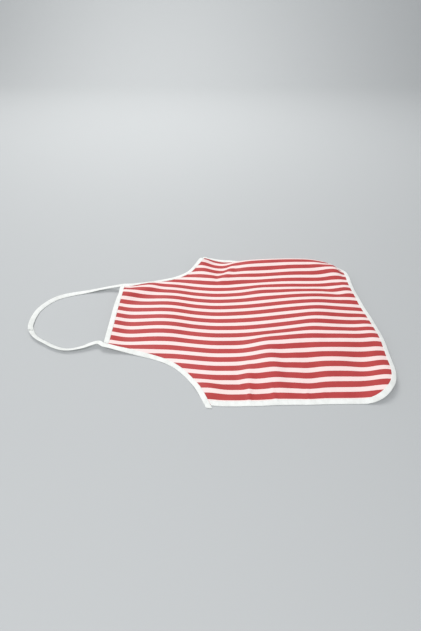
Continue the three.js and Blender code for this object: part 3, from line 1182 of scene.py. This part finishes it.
class NodeBoard:
    """A material's node tree, with one way to add any node."""

    def __init__(self, name: str) -> None:
        """Starts a material with an empty tree.

        Args:
            name: The material's name.
        """
        self.material = bpy.data.materials.new(name)
        self.material.use_nodes = True
        self.tree = self.material.node_tree
        self.tree.nodes.clear()

    def node(self, kind: str, settings: dict | None = None, values: dict | None = None) -> bpy.types.Node:
        """Adds a node.

        Args:
            kind: The node's type.
            settings: Its own settings, which are set first.
            values: Numbers, colours or links for its sockets, by name or number.

        Returns:
            The node.
        """
        node = self.tree.nodes.new(kind)
        for key, setting in (settings or {}).items():
            setattr(node, key, setting)
        for key, value in (values or {}).items():
            if isinstance(value, Signal):
                self.tree.links.new(value.socket, node.inputs[key])
            elif isinstance(value, bpy.types.NodeSocket):
                self.tree.links.new(value, node.inputs[key])
            else:
                node.inputs[key].default_value = value
        return node

    def mark(self) -> tuple[Signal, Signal, Signal]:
        """Reads the mesh's marks.

        Returns:
            The three numbers of the mark that each point carries.
        """
        found = self.node("ShaderNodeAttribute", {"attribute_name": "mark"})
        parts = self.node("ShaderNodeSeparateXYZ", None, {0: found.outputs["Vector"]})
        return tuple(Signal(self, socket) for socket in parts.outputs)

    def noise(self, x: Signal | float, y: Signal | float, z: Signal | float, detail: float = 2) -> Signal:
        """Makes soft noise.

        Args:
            x: The place's first number.
            y: Its second number.
            z: Its third number.
            detail: How many finer layers it has.

        Returns:
            The noise, from 0 to 1.
        """
        spot = self.node("ShaderNodeCombineXYZ", None, {0: x, 1: y, 2: z})
        made = self.node(
            "ShaderNodeTexNoise", None,
            {"Vector": spot.outputs[0], "Scale": 1.0, "Detail": detail, "Roughness": 0.55},
        )
        return Signal(self, made.outputs[0])

    def mix(self, factor: Signal | float, first: object, second: object) -> bpy.types.NodeSocket:
        """Mixes two colours.

        Args:
            factor: 0 for the first and 1 for the second.
            first: A colour or its socket.
            second: A colour or its socket.

        Returns:
            The mixed colour.
        """
        node = self.node(
            "ShaderNodeMix", {"data_type": "RGBA"}, {"Factor": factor, 6: first, 7: second}
        )
        return node.outputs[2]

    def bump(self, height: Signal, distance: float, strength: float = 1.0) -> bpy.types.NodeSocket:
        """Turns a height into a normal.

        Args:
            height: The height, from 0 to 1.
            distance: How high 1 is.
            strength: How much of it shows.

        Returns:
            The normal.
        """
        node = self.node(
            "ShaderNodeBump", None, {"Height": height, "Distance": distance, "Strength": strength}
        )
        return node.outputs["Normal"]

    def finish(self, **values: object) -> bpy.types.Material:
        """Ends the tree in a Principled shader.

        Args:
            **values: The shader's sockets by name, with spaces as low lines.

        Returns:
            The material.
        """
        named = {key.replace("_", " "): value for key, value in values.items()}
        shader = self.node("ShaderNodeBsdfPrincipled", None, named)
        self.node("ShaderNodeOutputMaterial", None, {"Surface": shader.outputs[0]})
        return self.material


Colour = tuple[float, float, float, float]
Spot = tuple[float, float, float]


@dataclass(frozen=True)
class StripedOilcloth:
    """Red and white striped cotton with a soft clear coating on its face."""

    red: Colour = (0.50, 0.060, 0.060, 1)
    deep_red: Colour = (0.43, 0.046, 0.047, 1)
    white: Colour = (0.94, 0.76, 0.74, 1)
    aged_white: Colour = (0.90, 0.71, 0.69, 1)
    period: float = 29.5 * MM
    white_share: float = 0.43
    near_white: float = -265.3 * MM
    soft_edge: float = 0.7 * MM
    thread: float = 0.42 * MM
    weave_depth: float = 0.035 * MM
    fuzz: float = 0.9 * MM
    fuzz_along: float = 900.0
    fuzz_across: float = 2600.0
    cloud: float = 26.0
    yarn_run: float = 70.0
    yarn_fine: float = 2400.0
    coated_roughness: float = 0.60
    bare_roughness: float = 0.85

    def make(self) -> bpy.types.Material:
        """Builds the finish.

        Returns:
            The material.
        """
        board = NodeBoard("striped_oilcloth")
        u, v, top = board.mark()
        fuzz = (board.noise(u * self.fuzz_along, v * self.fuzz_across, 0.0) - 0.5) * self.fuzz
        across = (v + fuzz - self.near_white) / self.period + 0.5
        from_white = abs(across.fraction() - 0.5) * self.period
        edge = self.white_share * self.period / 2
        red = from_white.step(edge - self.soft_edge / 2, edge + self.soft_edge / 2)
        cloudy = board.noise(u * self.cloud, v * self.cloud, 1.7, 4)
        yarn = board.noise(u * self.yarn_run, v * self.yarn_fine, 4.1)
        weft = board.noise(u * self.yarn_fine, v * self.yarn_run, 8.3)
        tone = (cloudy * 0.5 + yarn * 0.3 + weft * 0.2).step(0.32, 0.68)
        reds = board.mix(tone, self.deep_red, self.red)
        whites = board.mix(tone, self.aged_white, self.white)
        colour = board.mix(red, whites, reds)
        relief = weave(u, v, self.thread) * 0.3 + 0.5 + (yarn + weft - 1.0) * 0.4
        coated = self.coated_roughness + (cloudy - 0.5) * 0.22
        rough = coated * top + (1 - top) * self.bare_roughness
        return board.finish(
            Base_Color=colour,
            Roughness=rough,
            Normal=board.bump(relief, self.weave_depth, 0.8),
            Coat_Weight=top * 0.05,
            Coat_Roughness=0.32,
            Sheen_Weight=0.04,
            Sheen_Roughness=0.5,
            Specular_IOR_Level=0.25,
        )


@dataclass(frozen=True)
class CottonTape:
    """White cotton tape, with a fine diagonal grain."""

    white: Colour = (0.86, 0.875, 0.85, 1)
    shade: Colour = (0.76, 0.775, 0.745, 1)
    thread: float = 0.38 * MM
    weave_depth: float = 0.045 * MM
    cloud: float = 60.0
    yarn_fine: float = 1500.0
    yarn_run: float = 120.0

    def make(self) -> bpy.types.Material:
        """Builds the finish.

        Returns:
            The material.
        """
        board = NodeBoard("white_cotton_tape")
        along, round_it, _ = board.mark()
        one, other = along + round_it, along - round_it
        cloudy = board.noise(along * self.cloud, round_it * self.cloud, 2.0, 3)
        yarn = board.noise(one * self.yarn_fine, other * self.yarn_run, 5.0)
        colour = board.mix((cloudy * 0.7 + yarn * 0.3).step(0.3, 0.6), self.shade, self.white)
        relief = weave(one, other, self.thread) * 0.3 + 0.5 + (yarn - 0.5) * 0.5
        return board.finish(
            Base_Color=colour,
            Roughness=0.78 + (cloudy - 0.5) * 0.12,
            Normal=board.bump(relief, self.weave_depth, 0.8),
            Sheen_Weight=0.08,
            Sheen_Roughness=0.5,
            Specular_IOR_Level=0.3,
        )


@dataclass(frozen=True)
class SewingThread:
    """White sewing thread with a little gloss, a little uneven along its length."""

    white: Colour = (0.87, 0.88, 0.85, 1)
    shade: Colour = (0.76, 0.77, 0.74, 1)
    slub: float = 400.0

    def make(self) -> bpy.types.Material:
        """Builds the finish.

        Returns:
            The material.
        """
        board = NodeBoard("white_thread")
        place, _, _ = board.mark()
        tone = board.noise(place * self.slub, 0.3, 0.7)
        return board.finish(
            Base_Color=board.mix(tone.step(0.3, 0.7), self.shade, self.white),
            Roughness=0.45 + tone * 0.15,
            Specular_IOR_Level=0.5,
        )


@dataclass(frozen=True)
class Lamp:
    """A square soft light, with its side's length, its power in watts and where it faces."""

    name: str
    at: Spot
    size: float
    power: float
    tint: Spot = (1.0, 1.0, 1.0)
    towards: Spot = (0.0, 0.0, 0.0)

    def build(self) -> None:
        """Adds the lamp to the scene."""
        lamp = bpy.data.lights.new(self.name, "AREA")
        lamp.shape = "SQUARE"
        lamp.size = self.size
        lamp.energy = self.power
        lamp.color = self.tint
        holder = bpy.data.objects.new(self.name, lamp)
        holder.location = self.at
        ahead = Vector(self.towards) - Vector(self.at)
        holder.rotation_euler = ahead.to_track_quat("-Z", "Y").to_euler()
        bpy.context.scene.collection.objects.link(holder)


@dataclass(frozen=True)
class Studio:
    """A plain pale floor that sweeps up behind, soft lights and the camera."""

    camera_at: Spot = (0.304, -0.7175, 0.7325)
    pitch: float = 45.17
    lens: float = 18.83
    sensor: float = 36.0
    floor_tone: Colour = (0.50, 0.515, 0.52, 1)
    floor_back: float = 3.2
    floor_front: float = -2.6
    floor_half_width: float = 5.0
    sweep: float = 1.2
    wall: float = 3.0
    sky: Colour = (0.93, 0.96, 1.0, 1)
    sky_strength: float = 0.46
    lamps: tuple[Lamp, ...] = (
        Lamp("key", (-1.2, 3.0, 3.6), 2.0, 100.0, (1.0, 0.99, 0.97)),
        Lamp("fill", (-0.5, -1.5, 2.4), 1.6, 40.0),
        Lamp("backdrop_wash", (0.0, 1.6, 2.8), 2.4, 40.0, towards=(0.0, 4.4, 0.8)),
    )

    def floor(self) -> bpy.types.Object:
        """Makes the floor.

        Returns:
            The floor, which curves up into a backdrop.
        """
        turns = np.linspace(0, math.pi / 2, 13)
        profile = [(self.floor_front, 0.0)]
        profile += [
            (self.floor_back + self.sweep * math.sin(t), self.sweep * (1 - math.cos(t))) for t in turns
        ]
        profile.append((self.floor_back + self.sweep, self.wall))
        points = [
            (x, y, z) for y, z in profile for x in (-self.floor_half_width, self.floor_half_width)
        ]
        faces = [(2 * i, 2 * i + 1, 2 * i + 3, 2 * i + 2) for i in range(len(profile) - 1)]
        mesh = bpy.data.meshes.new("floor")
        mesh.from_pydata(points, [], faces)
        mesh.polygons.foreach_set("use_smooth", [True] * len(faces))
        board = NodeBoard("pale_floor")
        mesh.materials.append(
            board.finish(Base_Color=self.floor_tone, Roughness=0.7, Specular_IOR_Level=0.25)
        )
        floor = bpy.data.objects.new("floor", mesh)
        bpy.context.scene.collection.objects.link(floor)
        return floor

    def camera(self, shift: Array) -> None:
        """Places the camera as the photo was taken.

        Args:
            shift: From the plan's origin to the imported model's.
        """
        data = bpy.data.cameras.new("camera")
        data.lens = self.lens
        data.sensor_width = self.sensor
        data.clip_start = 0.01
        data.clip_end = 60.0
        holder = bpy.data.objects.new("camera", data)
        holder.location = Vector(self.camera_at) + Vector(shift)
        holder.rotation_euler = (math.radians(90 - self.pitch), 0, 0)
        bpy.context.scene.collection.objects.link(holder)
        bpy.context.scene.camera = holder

    def build(self, shift: Array) -> None:
        """Sets up the floor, the lights, the surroundings and the camera.

        Args:
            shift: From the plan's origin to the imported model's.
        """
        self.floor()
        for lamp in self.lamps:
            lamp.build()
        world = bpy.data.worlds.new("room")
        world.use_nodes = True
        sky = world.node_tree.nodes["Background"]
        sky.inputs["Color"].default_value = self.sky
        sky.inputs["Strength"].default_value = self.sky_strength
        bpy.context.scene.world = world
        bpy.context.scene.view_settings.view_transform = "Standard"
        self.camera(shift)


@dataclass
class Apron:
    """The whole apron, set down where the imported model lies."""

    cut: ApronCut = field(default_factory=ApronCut)
    tape: TapeCloth = field(default_factory=TapeCloth)
    stitching: Stitching = field(default_factory=Stitching)
    thickness: float = 0.8 * MM

    def __post_init__(self) -> None:
        """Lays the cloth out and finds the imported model's place for it."""
        ground = self.thickness / 2 + self.tape.ease + self.tape.ply
        lie = Lie(self.cut, MAIN_FOLDS + FINE_FOLDS, PULLS, ground)
        self.panel = Panel(self.cut, lie, self.thickness)
        self.bindings = Bindings(self.panel, NeckLoop(), self.tape)
        low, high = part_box("oilcloth_panel")
        own = (self.panel.points.min(axis=0) + self.panel.points.max(axis=0)) / 2
        self.shift = np.array([(low.x + high.x) / 2 - own[0], (low.y + high.y) / 2 - own[1], 0.0])

    def build(self) -> None:
        thread = SewingThread().make()
        white = CottonTape().make()
        runs = {
            "bib_binding": self.bindings.bib(),
            "hem_binding": self.bindings.hem(),
            "halter_tape_near": self.bindings.halter(Side.NEAR),
            "halter_tape_far": self.bindings.halter(Side.FAR),
        }
        sewn = []
        for node, run in runs.items():
            tape = run.build(self.shift)
            self._dress(tape, white, node)
            stitches = run.stitches(self.stitching, self.shift)
            self._dress(stitches, thread, None)
            sewn += [tape, stitches]
        cloth = self.panel.build(self.shift)
        self._dress(cloth, StripedOilcloth().make(), "oilcloth_panel")
        self.cut.area()

    def _dress(
        self, piece: bpy.types.Object, finish: bpy.types.Material, node: str | None
    ) -> None:
        """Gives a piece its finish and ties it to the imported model.

        Args:
            piece: The piece.
            finish: Its material.
            node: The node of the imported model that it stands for, if any.
        """
        piece.data.materials.append(finish)
        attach(piece, "root")
        if node:
            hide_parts(node)
        LOG.info("%s: %d faces", piece.name, len(piece.data.polygons))


def main() -> None:
    """Builds the apron and its studio, and reports each piece."""
    logging.basicConfig(level=logging.INFO, format="%(name)s %(message)s")
    apron = Apron()
    apron.build()
    Studio().build(apron.shift)
    LOG.info("the cut's area is %.4f square metres", apron.cut.area())


if __name__ == "__main__":
    main()
